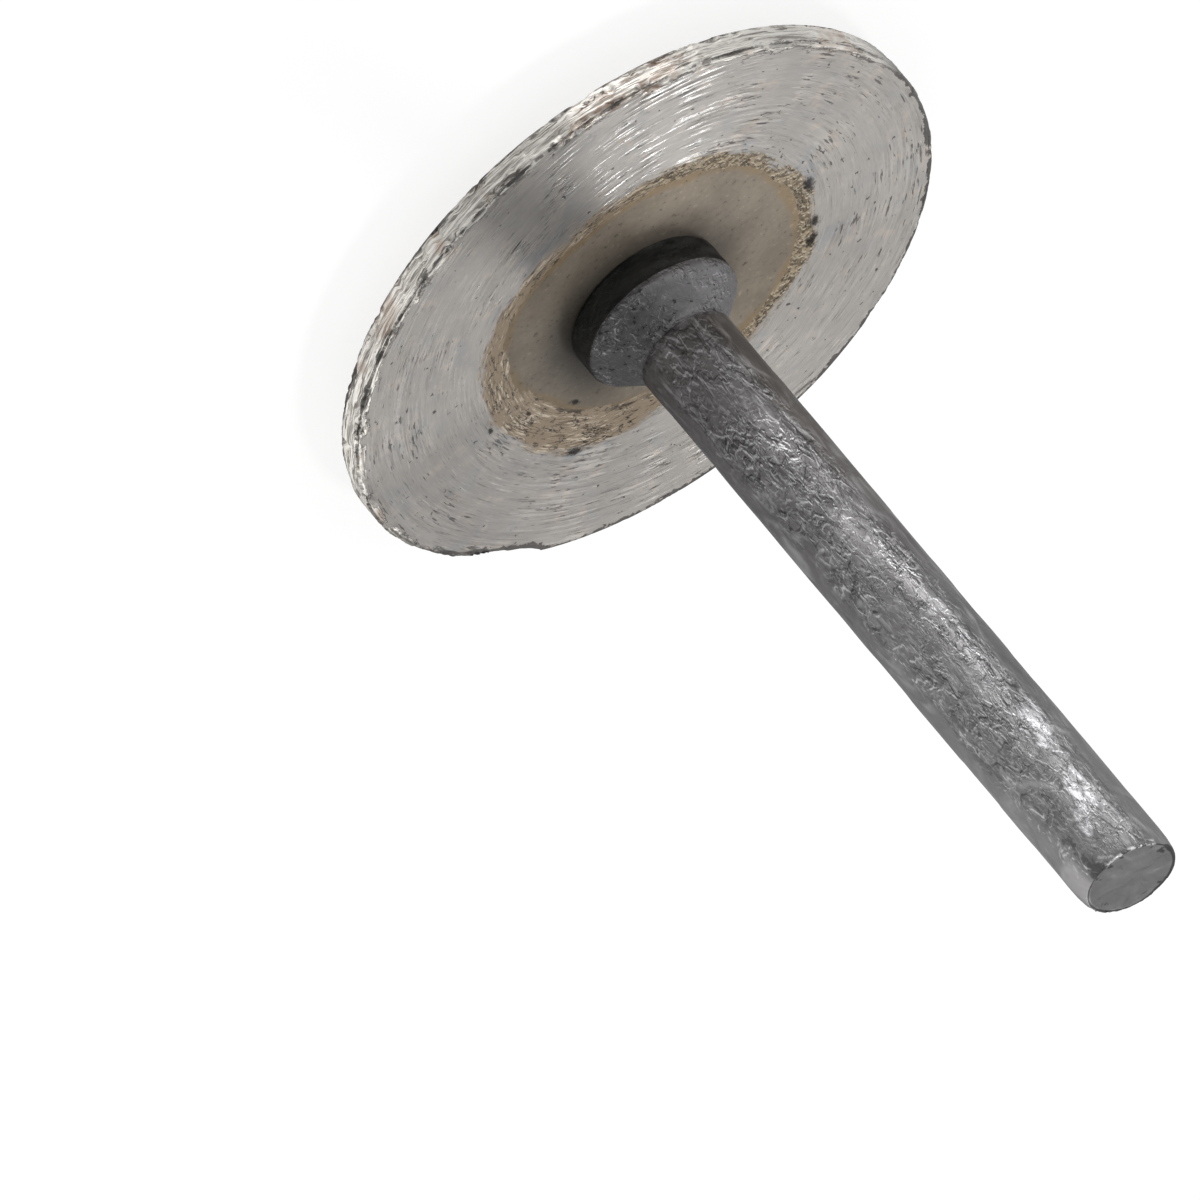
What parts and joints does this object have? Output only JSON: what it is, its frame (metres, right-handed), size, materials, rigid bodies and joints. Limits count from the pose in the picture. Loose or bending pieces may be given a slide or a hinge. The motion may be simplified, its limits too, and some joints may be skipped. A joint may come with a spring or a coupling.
{
  "type": "cutting disc with mandrel",
  "caption": "Small round metal cutting disc riveted to a straight mandrel: plain shank, conical collar and waffle-faced rivet head, worn and chipped at the rim.",
  "frame": {"origin": "on the mandrel's axis, in the plane of the rivet head's waffle face that the part stands on", "axes": "+Z along the mandrel's axis from the rivet head to the shank's end; the big chip in the rim is about 33 degrees from +X towards +Y"},
  "size_m": [0.0203, 0.0204, 0.0277],
  "materials": {
    "disc": "ground bright with short circular scratches, tan and as pressed round the middle",
    "mandrel": "dark grey, wrinkled and slightly glossy"
  },
  "bodies": {
    "root": {"disc": "disc", "mandrel": "mandrel"}
  },
  "joints": []
}
